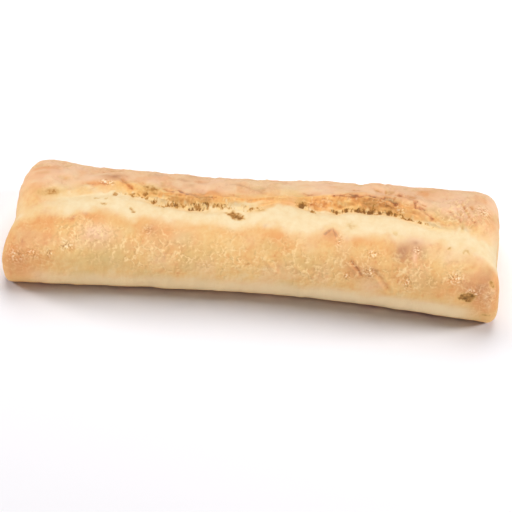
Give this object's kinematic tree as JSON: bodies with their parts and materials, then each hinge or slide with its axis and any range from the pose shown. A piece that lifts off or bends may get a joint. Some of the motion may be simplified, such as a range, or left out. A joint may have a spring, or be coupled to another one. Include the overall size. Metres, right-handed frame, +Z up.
{
  "type": "demi baguette",
  "caption": "Short crusty loaf with square rounded ends, a flat underside and a lengthwise slash that has opened into a pale band with a torn lip, for serving or slicing.",
  "frame": {"origin": "middle of the loaf's box, on the flat underside", "axes": "+X along the loaf towards the end that is nearer the camera in the picture, +Y away from the camera towards the back lobe, +Z up"},
  "size_m": [0.26, 0.076, 0.045],
  "materials": {
    "crust": "matt baked crust, golden on the flanks, pale in the opened slash and along the foot"
  },
  "bodies": {
    "root": {"loaf": "crust"}
  },
  "joints": []
}
